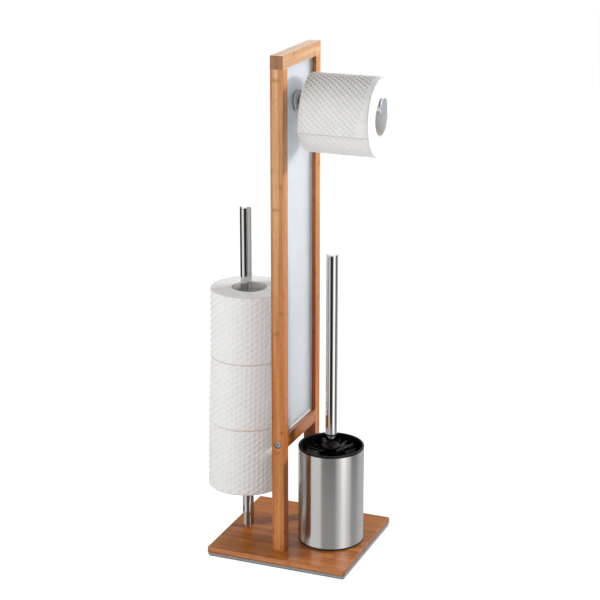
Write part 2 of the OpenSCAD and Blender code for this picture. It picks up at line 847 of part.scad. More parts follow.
// Fourteen faces a cell, seen from outside: seven round the root, six up the sides, one on the tip
function cell_faces(row, col) =
    let(
        a = ring_at(row, col), b = ring_at(row, col + 1),
        c = ring_at(row + 1, col + 1), d = ring_at(row + 1, col),
        s = strand_at(row, col), p = s, q = s + 1, r = s + 2
    )
    [
        [a, b, q], [a, q, p], [b, c, q], [q, c, r], [c, d, r], [r, d, p], [d, a, p],
        [p, q, q + 3], [p, q + 3, p + 3], [q, r, r + 3], [q, r + 3, q + 3],
        [r, p, p + 3], [r, p + 3, r + 3], [p + 3, q + 3, r + 3]
    ];

// The band's two end faces and its inner wall
function band_faces(col) =
    let(
        o0 = ring_at(0, col), o1 = ring_at(0, col + 1),
        u0 = ring_at(bristle_rows, col), u1 = ring_at(bristle_rows, col + 1),
        i0 = inner_at(0, col), i1 = inner_at(0, col + 1),
        t0 = inner_at(1, col), t1 = inner_at(1, col + 1)
    )
    [[o1, o0, i0], [o1, i0, i1], [i1, i0, t0], [i1, t0, t1], [u0, u1, t1], [u0, t1, t0]];

module brush_bristles() {
    faces = concat(
        [for (row = [0:bristle_rows - 1], col = [0:bristles_round - 1]) each cell_faces(row, col)],
        [for (col = [0:bristles_round - 1]) each band_faces(col)]);
    color("black") at_cup() polyhedron(
        points = concat(ring_points, inner_points, strand_points),
        faces = [for (f = faces) [f[2], f[1], f[0]]]);
}

// Rolls

module paper(d, w) {
    round_ring(d/2, core_r + plug_fit, w, roll_round, 0.8);
}

module core(w) {
    tube(core_r, core_wall, w);
}

module at_hanging_roll() {
    translate([hang_x0, arm_set, hang_z]) rotate([0, 90, 0]) children();
}

module hanging_paper() {
    color("white") at_hanging_roll() paper(hang_roll_d, hang_roll_w);
}

module hanging_core() {
    color("tan") at_hanging_roll() core(hang_roll_w);
}

// The free end of the paper lies over the roll's top and stops on the near side
module loose_sheet() {
    r0 = hang_roll_d/2 + plug_fit;
    far = 4*hang_roll_d;
    color("white") at_hanging_roll() translate([0, 0, roll_round])
        linear_extrude(hang_roll_w - roll_round - sheet_short) intersection() {
            difference() {
                circle(r0 + sheet_t, $fn = 96);
                circle(r0, $fn = 96);
            }
            polygon(concat([[0, 0]], [for (k = [0:4])
                let(a = -90 + sheet_end - sheet_wrap*k/4) [far*cos(a), far*sin(a)]]));
        }
}

module at_spare_roll(n) {
    translate([
        pole_x + roll_shift_x[n],
        roll_shift_y[n],
        support_top + seat_gap + n*(roll_w + seat_gap)
    ]) children();
}

module spare_paper_1() {
    color("white") at_spare_roll(0) paper(roll_d, roll_w);
}

module spare_core_1() {
    color("tan") at_spare_roll(0) core(roll_w);
}

module spare_paper_2() {
    color("white") at_spare_roll(1) paper(roll_d, roll_w);
}

module spare_core_2() {
    color("tan") at_spare_roll(1) core(roll_w);
}

module spare_paper_3() {
    color("white") at_spare_roll(2) paper(roll_d, roll_w);
}

module spare_core_3() {
    color("tan") at_spare_roll(2) core(roll_w);
}

base_board();
ballast_plate();
anti_slip_mat();
post_screws();
front_post();
rear_post();
top_rail();
lower_rail();
rail_bolts();
barrel_nuts();
rail_dowels();
top_dowels();
glass_panel();
glazing_strip();
arm_rosette_front();
arm_rosette_back();
glass_bushing();
arm_stud();
arm_root_plug();
arm_tube();
arm_end_stop();
arm_cap_nut();
spare_pole();
pole_cap();
pole_insert();
pole_screw();
roll_support();
support_screw();
holder_sleeve();
holder_foot();
liner_cup();
brush_handle();
handle_cap();
handle_ferrule();
hub_stud();
brush_hub();
brush_bristles();
hanging_paper();
hanging_core();
loose_sheet();
spare_paper_1();
spare_core_1();
spare_paper_2();
spare_core_2();
spare_paper_3();
spare_core_3();
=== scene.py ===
import math
import random

import bpy
import numpy as np
from mathutils import Matrix, Vector


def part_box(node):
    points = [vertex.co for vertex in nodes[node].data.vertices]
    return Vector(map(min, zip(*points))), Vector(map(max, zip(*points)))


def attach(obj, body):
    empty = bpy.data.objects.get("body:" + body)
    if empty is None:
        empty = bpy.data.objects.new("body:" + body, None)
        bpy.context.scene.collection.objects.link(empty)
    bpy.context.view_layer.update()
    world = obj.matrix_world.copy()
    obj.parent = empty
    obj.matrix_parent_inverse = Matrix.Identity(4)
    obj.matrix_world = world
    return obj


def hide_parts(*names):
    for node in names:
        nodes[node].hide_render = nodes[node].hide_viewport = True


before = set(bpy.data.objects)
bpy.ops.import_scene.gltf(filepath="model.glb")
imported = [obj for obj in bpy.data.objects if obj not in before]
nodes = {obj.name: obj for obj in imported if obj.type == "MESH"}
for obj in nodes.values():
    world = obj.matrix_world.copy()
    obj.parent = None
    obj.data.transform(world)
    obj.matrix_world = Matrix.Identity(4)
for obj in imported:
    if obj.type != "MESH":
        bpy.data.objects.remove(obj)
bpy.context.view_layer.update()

MM = 0.001


# Colours and shader nodes

def linear(colour, share=1.0):
    """An sRGB hex colour such as "C79A66" as linear red, green, blue and alpha, at a share of its
    brightness."""
    parts = [int(colour[i:i + 2], 16) / 255 for i in (0, 2, 4)]
    return (*[share * (p / 12.92 if p <= 0.04045 else ((p + 0.055) / 1.055) ** 2.4) for p in parts], 1.0)


def fill(node, values):
    """Sets or links a node's inputs, given by name in a dict or in order among its live ones. Where the
    value is a node, its first live output is linked."""
    live = [socket for socket in node.inputs if socket.enabled]
    pairs = values.items() if isinstance(values, dict) else enumerate(values)
    for key, value in pairs:
        socket = node.inputs[key] if isinstance(key, str) else live[key]
        if isinstance(value, bpy.types.Node):
            value = next(output for output in value.outputs if output.enabled)
        if isinstance(value, bpy.types.NodeSocket):
            node.id_data.links.new(value, socket)
        else:
            socket.default_value = value


def add(tree, kind, values=(), **settings):
    """Adds one node with its settings and fills its inputs."""
    made = tree.nodes.new("ShaderNode" + kind)
    for name, value in settings.items():
        setattr(made, name, value)
    fill(made, values)
    return made


def set_stops(node, stops, interpolation="LINEAR"):
    """Gives a colour ramp its stops of (place, colour) or (place, colour, alpha)."""
    band = node.color_ramp
    band.interpolation = interpolation
    while len(band.elements) < len(stops):
        band.elements.new(0.5)
    for element, (place, colour, *alpha) in zip(band.elements, sorted(stops, key=lambda s: s[0])):
        element.position = place
        element.color = (*colour[:3], alpha[0] if alpha else 1.0)
    return node


def new_material(name):
    """A new material with its tree, its shader and the object's own coordinates."""
    material = bpy.data.materials.new(name)
    material.use_nodes = True
    tree = material.node_tree
    return material, tree, tree.nodes["Principled BSDF"], add(tree, "TexCoord").outputs["Object"]


def dress(material, *names):
    """Puts the material on CAD nodes, which keep their shape."""
    for name in names:
        mesh = nodes[name].data
        mesh.materials.clear()
        mesh.materials.append(material)


# How a Mix node joins two colours, how a Map Range node eases, and the signs in the Math nodes
TINT = {"data_type": "RGBA", "blend_type": "MIX"}
DARKEN = {"data_type": "RGBA", "blend_type": "MULTIPLY"}
EASED = {"interpolation_type": "SMOOTHSTEP"}
TIMES = {"operation": "MULTIPLY"}
PLUS = {"operation": "ADD"}
LARGER_OF = {"operation": "MAXIMUM"}
SIZE_OF = {"operation": "ABSOLUTE"}
IS_OVER = {"operation": "GREATER_THAN"}
IS_UNDER = {"operation": "LESS_THAN"}
TIMES_PLUS = {"operation": "MULTIPLY_ADD"}


# Bamboo

LIGHT, MID, DARK, DARKEST = "CC9E58", "C2934E", "B88947", "AF7E42"

# Painted shade: bamboo is drawn palest at the top and browner and redder towards the foot, as the light
# falls
# off downwards: height in metres and the tone that the strips are multiplied by
HEIGHT_SHADE = [(0.019, "E6BE92"), (0.148, "E6C39A"), (0.276, "E4C195"), (0.373, "E6CDB2"), (0.437, "ECDCCB"),
          (0.501, "F8F2E6"), (0.63, "FFFFFF")]

# Noise cells per metre across, across and along the grain: streaks of about 1 by 70 mm, clouds of 5 by
# 140 mm, dashes of 0.4 by 9 mm, and the waves in which a knot's line runs
STREAK_CELLS = (900, 900, 14)
CLOUD_CELLS = (190, 190, 7)
DASH_CELLS = (2400, 2400, 110)
KNOT_CELLS = (260, 260, 60)
# A face looks along an axis where its normal's part along that axis is over this
FACE_ON = 0.7


def lamellas(width, tones, seed):
    """Stops of a ramp for glued strips, given as (width in mm, hex tone), each with its own random
    alpha, from which the knots' places come."""
    dice = random.Random(seed)
    stops, at = [], 0.0
    for strip, tone in tones:
        stops.append((at / width, linear(tone), dice.random()))
        at += strip
    return stops


def random_lamellas(width, low, high, seed):
    """Strips of random widths and tones, in mm, until they fill the width; a ramp holds 30 at most."""
    dice = random.Random(seed)
    tones, left = [], width
    while left > 0 and len(tones) < 30:
        strip = dice.uniform(low, high)
        tones.append((strip, dice.choice([LIGHT, LIGHT, MID, MID, DARK, DARKEST])))
        left -= strip
    return tones


def bamboo(name, node, along, across_a, across_b, tones_a, tones_b, seed, knots=230, lacquer=0.6):
    """Laminated bamboo, planed, sanded and lacquered satin: glued strips of slightly different honey
    browns, fine dark fibre dashes along the grain, a knot line now and then in each strip, and darker
    speckled end grain. Knots are so many mm apart."""
    material, tree, shader, place = new_material(name)
    low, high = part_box(node)
    xyz = add(tree, "SeparateXYZ", [place])
    facing = add(tree, "SeparateXYZ", [place.node.outputs["Normal"]])
    at_a, at_b, at_c = ("XYZ".index(k) for k in (across_a, across_b, along))
    a, b, c = (xyz.outputs[k] for k in (at_a, at_b, at_c))

    def strips(value, k, tones, salt):
        """Glued strips that lie side by side along one axis."""
        share = add(tree, "MapRange", (value, low[k], high[k]))
        stops = lamellas((high[k] - low[k]) / MM, tones, seed + salt)
        return set_stops(add(tree, "ValToRGB", [share]), stops, "CONSTANT")

    def looks_along(k):
        """1 on faces that look along one axis."""
        return add(tree, "Math", (add(tree, "Math", [facing.outputs[k]], **SIZE_OF), FACE_ON), **IS_OVER)

    strips_a, strips_b = strips(a, at_a, tones_a, 0), strips(b, at_b, tones_b, 1)
    # Faces that look along A show the strips that lie side by side along B
    sideways = looks_along(at_a)
    tone = add(tree, "Mix", (sideways, strips_a, strips_b), **TINT)
    start = add(tree, "Mix", (sideways, strips_a.outputs["Alpha"], strips_b.outputs["Alpha"]))

    # Fibres, which start elsewhere in each strip
    grain = add(tree, "CombineXYZ", (a, b, c))
    slide = add(tree, "CombineXYZ", (seed * 0.37, add(tree, "Math", (start, 40.0), **TIMES),
                                     add(tree, "Math", (start, 90.0), **TIMES)))
    shifted = add(tree, "Mapping", {"Vector": grain, "Location": slide, "Scale": STREAK_CELLS})
    streaks = add(tree, "TexNoise", {"Vector": shifted, "Scale": 1.0, "Detail": 3.0, "Roughness": 0.6})
    clouds, dashes, waves = (
        add(tree, "TexNoise", {"Vector": add(tree, "Mapping", {"Vector": grain, "Scale": cells}),
                               "Scale": 1.0, "Detail": detail})
        for cells, detail in ((CLOUD_CELLS, 2.0), (DASH_CELLS, 1.0), (KNOT_CELLS, 2.0)))

    # Knots: an 11 mm smudge across the strip with a dark line of 2 mm in it, whose edges fade
    wavy = add(tree, "Math", (waves, 9 * MM, c), **TIMES_PLUS)
    step = add(tree, "Math", [add(tree, "Math", (wavy, 1 / (knots * MM), start), **TIMES_PLUS)],
               operation="FRACT")
    off = add(tree, "Math", [add(tree, "Math", (step, 0.5), operation="SUBTRACT")], **SIZE_OF)
    smudge = add(tree, "MapRange", (off, 0.0, 5.5 / knots, 0.28, 0.0), **EASED)
    line = add(tree, "MapRange", (off, 0.0, 1.1 / knots, 0.22, 0.0), **EASED)

    # Painted shade: the strips darken and redden towards the foot by the height ramp
    stops = [(z, linear(shade)) for z, shade in HEIGHT_SHADE]
    height_shade = set_stops(add(tree, "ValToRGB", [xyz.outputs["Z"]]), stops)
    tone = shade = add(tree, "Mix", (1.0, tone, height_shade), **DARKEN)
    for amount, brown in ((add(tree, "MapRange", (streaks, 0.3, 0.7, 0.26, 0.0)), "B88658"),
                          (add(tree, "MapRange", (clouds, 0.35, 0.65, 0.0, 0.55)), "CFA078"),
                          (add(tree, "MapRange", (dashes, 0.56, 0.7, 0.0, 0.42)), "9A6238"),
                          (smudge, "A06A40"),
                          (line, "7A4A2A")):
        shade = add(tree, "Mix", (amount, shade, linear(brown)), **DARKEN)

    # End grain: fibre bundles seen end on, as 0.6 mm dots
    dots = add(tree, "TexVoronoi", {"Vector": grain, "Scale": 1700.0})
    ends = add(tree, "Mix", (0.85, tone, linear("8D6B5A")), **DARKEN)
    ends = add(tree, "Mix", (add(tree, "MapRange", (dots, 0.12, 0.4, 0.45, 0.0)), ends, linear("6A4226")),
               **DARKEN)

    relief = add(tree, "Math", (add(tree, "Math", (streaks, 0.6), **TIMES),
                                add(tree, "Math", (dashes, 0.4), **TIMES)), **PLUS)
    fill(shader, {
        "Base Color": add(tree, "Mix", (looks_along(at_c), shade, ends), **TINT),
        "Roughness": add(tree, "MapRange", (streaks, 0.2, 0.8, 0.5, 0.38)),
        "IOR": 1.5,
        "Specular IOR Level": 0.2,
        "Coat Weight": lacquer,
        "Coat Roughness": 0.22,
        "Normal": add(tree, "Bump", {"Height": relief, "Strength": 0.12, "Distance": 0.2 * MM}),
    })
    dress(material, node)


# Steel, glass and plastic

def polished_steel(name, tone="D2D2D0", along="Z"):
    """Chrome-plated steel tube, polished: a near mirror with hairlines round it from buffing."""
    material, tree, shader, place = new_material(name)
    cells = {"Z": (300, 300, 9000), "X": (9000, 300, 300)}[along]
    hair = add(tree, "TexNoise", {"Vector": add(tree, "Mapping", {"Vector": place, "Scale": cells}),
                                  "Scale": 1.0, "Detail": 2.0})
    fill(shader, {
        "Base Color": linear(tone),
        "Metallic": 1.0,
        "Roughness": add(tree, "MapRange", (hair, 0.3, 0.7, 0.049, 0.105)),
        "Normal": add(tree, "Bump", {"Height": hair, "Strength": 0.03, "Distance": 0.1 * MM}),
    })
    return material


def brushed_steel():
    """Stainless steel sheet, rolled to a sleeve and brushed round: streaks run round the cup, so
    reflections stay sharp sideways and smear up and down."""
    material, tree, shader, place = new_material("stainless_steel_brushed_round")
    fine, broad = (
        add(tree, "TexNoise", {"Vector": add(tree, "Mapping", {"Vector": place, "Scale": cells}),
                               "Scale": 1.0, "Detail": detail})
        for cells, detail in (((60, 60, 5200), 3.0), ((25, 25, 900), 2.0)))
    fill(shader, {
        "Base Color": add(tree, "Mix", (add(tree, "MapRange", (fine, 0.3, 0.7)), linear("C6C4C2"),
                                        linear("D2D0CE")), **TINT),
        "Metallic": 1.0,
        "Roughness": add(tree, "MapRange", (broad, 0.3, 0.7, 0.17, 0.23)),
        "Anisotropic": 0.95,
        "Anisotropic Rotation": 0.25,
        "Tangent": add(tree, "Tangent", direction_type="RADIAL", axis="Z"),
        "Normal": add(tree, "Bump", {"Height": fine, "Strength": 0.02, "Distance": 0.1 * MM}),
    })
    return material


def satin_metal(name, tone, rough):
    """Turned or plated metal with a soft sheen and a grit of 0.25 mm that keeps it from looking like
    glass."""
    material, tree, shader, place = new_material(name)
    grit = add(tree, "TexNoise", {"Vector": place, "Scale": 4000.0, "Detail": 2.0})
    fill(shader, {
        "Base Color": add(tree, "Mix", (add(tree, "MapRange", (grit, 0.35, 0.65)), linear(tone, 0.86),
                                        linear(tone)), **TINT),
        "Metallic": 1.0,
        "Roughness": add(tree, "MapRange", (grit, 0.3, 0.7, rough * 0.85, rough * 1.2)),
    })
    return material


def satin_glass():
    """Float glass, etched satin on its face: pale blue grey, soft and a little see-through."""
    material, tree, shader, place = new_material("float_glass_satin_etched")
    etch = add(tree, "TexNoise", {"Vector": place, "Scale": 2600.0, "Detail": 2.0})
    fill(shader, {
        "Base Color": add(tree, "Mix", (add(tree, "MapRange", (etch, 0.35, 0.65)), linear("DFE4E9"),
                                        linear("E4E8ED")), **TINT),
        "Roughness": 0.48,
        "IOR": 1.5,
        "Transmission Weight": 0.7,
        "Normal": add(tree, "Bump", {"Height": etch, "Strength": 0.05, "Distance": 0.1 * MM}),
    })
    return material


def clear_plastic(name, tone, see_through, rough):
    """Clear or milky soft plastic, extruded or moulded: lets light through and shines softly."""
    material, tree, shader, place = new_material(name)
    haze = add(tree, "TexNoise", {"Vector": place, "Scale": 500.0, "Detail": 2.0})
    fill(shader, {
        "Base Color": add(tree, "Mix", (add(tree, "MapRange", (haze, 0.35, 0.65)), linear(tone, 0.9),
                                        linear(tone)), **TINT),
        "Roughness": rough,
        "IOR": 1.49,
        "Transmission Weight": see_through,
    })
    return material


def black_plastic(name, tone="0A0A0B", rough=0.3, shine=0.3):
    """Polypropylene, moulded: deep black with a faint moulded grain of 1.1 mm and a soft sheen."""
    material, tree, shader, place = new_material(name)
    skin = add(tree, "TexNoise", {"Vector": place, "Scale": 900.0, "Detail": 3.0})
    bright = (*[c * 1.5 + 0.001 for c in linear(tone)[:3]], 1.0)
    fill(shader, {
        "Base Color": add(tree, "Mix", (add(tree, "MapRange", (skin, 0.35, 0.65)), linear(tone), bright),
                          **TINT),
        "Roughness": add(tree, "MapRange", (skin, 0.3, 0.7, rough * 0.85, rough * 1.25)),
        "Specular IOR Level": shine,
        "Normal": add(tree, "Bump", {"Height": skin, "Strength": 0.08, "Distance": 0.2 * MM}),
    })
    return material


def matt_sheet(name, tone, rough):
    """Coated steel plate or rubber mat: matt, with a fine even grain of 1.4 mm."""
    material, tree, shader, place = new_material(name)
    skin = add(tree, "TexNoise", {"Vector": place, "Scale": 700.0, "Detail": 4.0})
    fill(shader, {
        "Base Color": add(tree, "Mix", (add(tree, "MapRange", (skin, 0.35, 0.65)), linear(tone, 0.8),
                                        linear(tone)), **TINT),
        "Roughness": rough,
        "Normal": add(tree, "Bump", {"Height": skin, "Strength": 0.1, "Distance": 0.2 * MM}),
    })
    return material


def bristle_nylon():
    """Nylon bristles, extruded: black with a soft shine along each one."""
    material, tree, shader, place = new_material("nylon_bristle_black")
    each = add(tree, "TexNoise", {"Vector": place, "Scale": 800.0, "Detail": 1.0})
    fill(shader, {
        "Base Color": add(tree, "Mix", (add(tree, "MapRange", (each, 0.35, 0.65)), linear("040405"),
                                        linear("101318")), **TINT),
        "Roughness": 0.2,
        "Specular IOR Level": 0.6,
    })
    return material


# Paper and board

def tissue(name, tone, crepe_tone, relief_shade_share):
    """Tissue paper, creped and embossed: white, matt and faintly woolly, with crepe lines of 0.7 mm, and
    painted shade that greys it by a share on its vertices, such as in the embossing's hollows."""
    material, tree, shader, place = new_material(name)
    crepe = add(tree, "TexNoise", {"Vector": place, "Scale": 1500.0, "Detail": 4.0, "Roughness": 0.65})
    cloud = add(tree, "TexNoise", {"Vector": place, "Scale": 60.0, "Detail": 2.0})
    relief_shade = add(tree, "Attribute", attribute_name="relief_shade").outputs["Fac"]
    brown_rim = add(tree, "Attribute", attribute_name="brown_rim").outputs["Fac"]
    shade = add(tree, "Mix", (add(tree, "MapRange", (crepe, 0.3, 0.7)), linear(crepe_tone), linear(tone)),
                **TINT)
    shade = add(tree, "Mix", (add(tree, "MapRange", (cloud, 0.4, 0.7, 0.0, 0.3)), shade, linear("EDECEA")),
                **TINT)
    # Painted shade: the share on the vertices greys the paper
    amount = add(tree, "Math", (relief_shade, relief_shade_share), **TIMES)
    shade = add(tree, "Mix", (amount, shade, linear("8E8A85")), **DARKEN)
    amount = add(tree, "Math", (brown_rim, add(tree, "MapRange", (cloud, 0.35, 0.6, 0.4, 0.85))), **TIMES)
    fill(shader, {
        "Base Color": add(tree, "Mix", (amount, shade, linear("A88A64")), **TINT),
        "Roughness": 0.9,
        "Specular IOR Level": 0.15,
        "Sheen Weight": 0.15,
        "Sheen Roughness": 0.5,
        "Normal": add(tree, "Bump", {"Height": crepe, "Strength": 0.25, "Distance": 0.2 * MM}),
    })
    return material


def roll_ends(name, centre, along, outer):
    """The cut ends of a roll of tissue: hundreds of layers, drawn as rings of 1.2 mm so that they show,
    and a brownish outermost edge, where stacked rolls meet."""
    material, tree, shader, place = new_material(name)
    local = add(tree, "Mapping", {"Vector": place, "Location": tuple(-c for c in centre)})
    xyz = add(tree, "SeparateXYZ", [local])
    a, b = (xyz.outputs[k] for k in "XYZ" if k != along)
    radius = add(tree, "Math", [add(tree, "Math", (add(tree, "Math", (a, a), **TIMES),
                                                   add(tree, "Math", (b, b), **TIMES)), **PLUS)],
                 operation="SQRT")
    wobble = add(tree, "TexNoise", {"Vector": local, "Scale": 40.0, "Detail": 1.0})
    wound = add(tree, "Math", (wobble, 1.2 * MM, radius), **TIMES_PLUS)
    rings = add(tree, "Math", [add(tree, "Math", (wound, 2 * math.pi / (1.2 * MM)), **TIMES)],
                operation="SINE")
    fuzz = add(tree, "TexNoise", {"Vector": local, "Scale": 1300.0, "Detail": 3.0})
    shade = add(tree, "Mix", (add(tree, "MapRange", (rings, -1.0, 1.0, 0.0, 0.5)), linear("E9E8E7"),
                              linear("DEDDDB")), **TINT)
    shade = add(tree, "Mix", (add(tree, "MapRange", (fuzz, 0.4, 0.7, 0.0, 0.4)), shade, linear("E2E0DD")),
                **TINT)
    rim = add(tree, "MapRange", (radius, outer - 1.2 * MM, outer - 0.6 * MM, 0.0, 0.6))
    relief = add(tree, "Math", (rings, 0.25, fuzz), **TIMES_PLUS)
    fill(shader, {
        "Base Color": add(tree, "Mix", (rim, shade, linear("B39A80")), **TINT),
        "Roughness": 0.9,
        "Specular IOR Level": 0.15,
        "Normal": add(tree, "Bump", {"Height": relief, "Strength": 0.2, "Distance": 0.2 * MM}),
    })
    return material


def grey_board(name, dark, light):
    """Cardboard, wound in a spiral: dull and pale, with fibres of about 1.4 mm."""
    material, tree, shader, place = new_material(name)
    fibre = add(tree, "TexNoise", {"Vector": place, "Scale": 700.0, "Detail": 4.0, "Roughness": 0.7})
    fill(shader, {
        "Base Color": add(tree, "Mix", (add(tree, "MapRange", (fibre, 0.35, 0.65)), linear(dark),
                                        linear(light)), **TINT),
        "Roughness": 0.75,
        "Normal": add(tree, "Bump", {"Height": fibre, "Strength": 0.15, "Distance": 0.2 * MM}),
    })
    return material


def kraft_edge():
    """The cut edge of the cardboard core: light brown."""
    material, tree, shader, place = new_material("grey_board_cut_edge")
    fibre = add(tree, "TexNoise", {"Vector": place, "Scale": 900.0, "Detail": 3.0})
    fill(shader, {
        "Base Color": add(tree, "Mix", (add(tree, "MapRange", (fibre, 0.35, 0.65)), linear("A08466"),
                                        linear("BDA07E")), **TINT),
        "Roughness": 0.85,
    })
    return material


# Stand, cup and handle, which keep the CAD's shapes

# The front post's strips are as wide as the real ones; the others are much like them
bamboo("bamboo_front_post", "front_post", "Z", "X", "Y",
       [(3.0, "C0936C"), (8.7, "DFB78A"), (6.1, "CFA276")],
       [(5.3, "D8A272"), (6.5, "DDAA7C"), (4.5, "D4A070")], seed=3, knots=170, lacquer=0.25)
bamboo("bamboo_rear_post", "rear_post", "Z", "X", "Y",
       [(5.4, "B27642"), (7.0, "A46A36"), (5.4, "B07440")],
       [(5.5, "CC9C6A"), (4.3, "C2915A"), (6.5, "D0A270")], seed=11, knots=190, lacquer=0.3)
bamboo("bamboo_top_rail", "top_rail", "Y", "X", "Z",
       [(6.0, "EAC398"), (6.2, "E4B687"), (5.6, "EDC79D")],
       [(8.7, "E3C29F"), (9.0, "DCB07E")], seed=17, knots=150)
bamboo("bamboo_lower_rail", "lower_rail", "Y", "X", "Z",
       [(5.0, "AA865E"), (5.4, "B6926A"), (7.0, "AC875E")],
       [(6.4, "BC8854"), (6.0, "C2915D"), (6.0, "B5814E")], seed=23, knots=140)
bamboo("bamboo_board", "base_board", "X", "Y", "Z",
       random_lamellas(188, low=9.0, high=20.0, seed=31), [(3.0, "BE8A5E"), (5.9, "DCB080")],
       seed=29, knots=120, lacquer=1.0)
# Turned beech has no strips: one tone is as wide as the node
bamboo("beech_dowels_top", "top_dowels", "Z", "X", "Y", [(20, "D8B890")], [(140, "D8B890")], seed=37)
bamboo("beech_dowels_rail", "rail_dowels", "Y", "X", "Z", [(20, "D8B890")], [(20, "D8B890")], seed=41)

dress(matt_sheet("steel_plate_powder_coated_grey", "9A9C9E", rough=0.5), "ballast_plate")
dress(matt_sheet("rubber_mat_dark_grey", "55575A", rough=0.85), "anti_slip_mat")
dress(satin_metal("steel_socket_screw_nickel_plated", "BFC2C6", rough=0.24), "rail_bolts")
dress(satin_metal("steel_zinc_plated", "C9CCD0", rough=0.3),
      "barrel_nuts", "post_screws", "pole_screw", "pole_insert", "arm_stud", "support_screw", "hub_stud")
dress(satin_glass(), "glass_panel")
dress(clear_plastic("soft_vinyl_strip_milky", "E6EBF0", see_through=0.05, rough=0.3), "glazing_strip")
dress(clear_plastic("washer_milky_clear", "D0D4D8", see_through=0.12, rough=0.3),
      "arm_rosette_front", "arm_rosette_back")
dress(clear_plastic("bushing_white", "D8D8D6", see_through=0.1, rough=0.4), "glass_bushing")
dress(satin_metal("steel_nickel_plated_turned", "BDB39E", rough=0.2), "arm_root_plug")
dress(polished_steel("steel_chromed_polished_arm", along="X"), "arm_tube", "arm_cap_nut")
# Painted reflection: the end stop's chrome is tinted blue
dress(polished_steel("steel_chromed_polished_stop_blue_reflection", "D6DFE8", along="X"), "arm_end_stop")
dress(polished_steel("steel_chromed_polished"),
      "spare_pole", "pole_cap", "roll_support", "brush_handle", "handle_cap")
dress(satin_metal("steel_chromed_satin_ferrule", "D4D4D2", rough=0.34), "handle_ferrule")
dress(brushed_steel(), "holder_sleeve")
dress(black_plastic("polypropylene_black_foot", rough=0.38), "holder_foot")
dress(black_plastic("polypropylene_black_liner", "050506"), "liner_cup")
dress(black_plastic("polypropylene_black_hub", "050505", rough=0.34, shine=0.14), "brush_hub")

# In the photograph the cup's front mirrors the lit floor and not the board that it stands on, so the
# board doesn't show in mirrors, and the floor gives its brown where the cup's side and the pole show it
# For mirrors the floor carries a painted reflection of that brown
for name in ("base_board", "ballast_plate", "anti_slip_mat", "post_screws", "pole_screw"):
    nodes[name].visible_glossy = False


# Modelling steps

def deselect():
    """Object mode with nothing selected."""
    if bpy.context.object and bpy.context.object.mode != "OBJECT":
        bpy.ops.object.mode_set(mode="OBJECT")
    bpy.ops.object.select_all(action="DESELECT")


def select_only(piece):
    """Object mode with one piece selected and active."""
    deselect()
    bpy.context.view_layer.objects.active = piece
    piece.select_set(True)


def clear_choice(piece, kind):
    """Chooses vertices, edges or faces as what is picked on one piece, with none of them picked yet."""
    select_only(piece)
    bpy.ops.object.mode_set(mode="EDIT")
    bpy.ops.mesh.select_mode(type=kind)
    bpy.ops.mesh.select_all(action="DESELECT")
    bpy.ops.object.mode_set(mode="OBJECT")


def pick_faces(piece, test):
    """Edit mode with the faces picked that pass a test."""
    clear_choice(piece, "FACE")
    for face in piece.data.polygons:
        face.select = test(face)
    bpy.ops.object.mode_set(mode="EDIT")


def pick_edges(piece, test):
    """Edit mode with the edges picked whose two ends pass a test."""
    clear_choice(piece, "EDGE")
    spots = piece.data.vertices
    for line in piece.data.edges:
        line.select = test(spots[line.vertices[0]].co, spots[line.vertices[1]].co)
    bpy.ops.object.mode_set(mode="EDIT")


def face_outward(piece):
    """Turns all faces of a piece the same way."""
    pick_faces(piece, lambda face: True)
    bpy.ops.mesh.normals_make_consistent(inside=False)
    bpy.ops.object.mode_set(mode="OBJECT")


def apply_modifier(piece, kind, **settings):
    """Gives a piece a modifier and applies it."""
    select_only(piece)
    made = piece.modifiers.new("step", kind)
    for name, value in settings.items():
        setattr(made, name, value)
    bpy.ops.object.modifier_apply(modifier=made.name)


def join(pieces):
    """Makes one piece of many."""
    deselect()
    for piece in pieces:
        piece.select_set(True)
    bpy.context.view_layer.objects.active = pieces[0]
    bpy.ops.object.join()
    return bpy.context.object


def done(piece, name, body, replaced, angle=40):
    """Gives a finished piece its name, its shading and its place in the frame."""
    select_only(piece)
    bpy.ops.object.transform_apply(location=True, rotation=True, scale=True)
    bpy.ops.object.shade_smooth_by_angle(angle=math.radians(angle))
    piece.name = piece.data.name = name
    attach(piece, body)
    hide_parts(*replaced)


def add_share(piece, name, values):
    """Puts a share from 0 to 1 on each vertex, for a material to read."""
    shares = piece.data.attributes.new(name, "FLOAT", "POINT")
    shares.data.foreach_set("value", np.asarray(values, dtype=np.float32))


def points(piece):
    """The places of a piece's vertices, as rows of an array."""
    return np.array([spot.co for spot in piece.data.vertices])


# Paper rolls

# The embossing: slanted marks 9 mm apart along the roll in rows 6.8 mm apart round it, each row pushed
# along a little. Each list gives place in the cell, length, width, slant in degrees and strength
PITCH_U, PITCH_V = 9.0 * MM, 6.8 * MM
SHEET_GROOVES = [(0.0, 4.8 * MM, 1.8 * MM, 50, 1.0), (0.5, 4.0 * MM, 1.8 * MM, -50, 0.95)]
ROLL_RIDGES = [(0.0, 6.2 * MM, 1.6 * MM, 47, 1.0)]
ROLL_GROOVES = [(0.5, 5.0 * MM, 1.4 * MM, -47, 1.0)]
# How finely the paper is cut for it, round the roll and along it
PAPER_SIDES, PAPER_CUTS = 528, 148
# The outer wall, and its marks as they set in at its rounded rims, start at these shares of the radius
WALL_FROM, MARKS_FROM, MARKS_FULL = 0.97, 0.985, 0.997
CORE_SIDES, CORE_WALL = 96, 1.3 * MM
# Soft rolls settle on one another: how far, in mm, the foot and the top of each are pushed along X and Y
LEAN = {1: ((0.0, 0.0), (2.3, -0.2)), 2: ((-2.3, 0.2), (2.3, -2.1)), 3: ((-2.3, 2.1), (0.0, 0.0))}


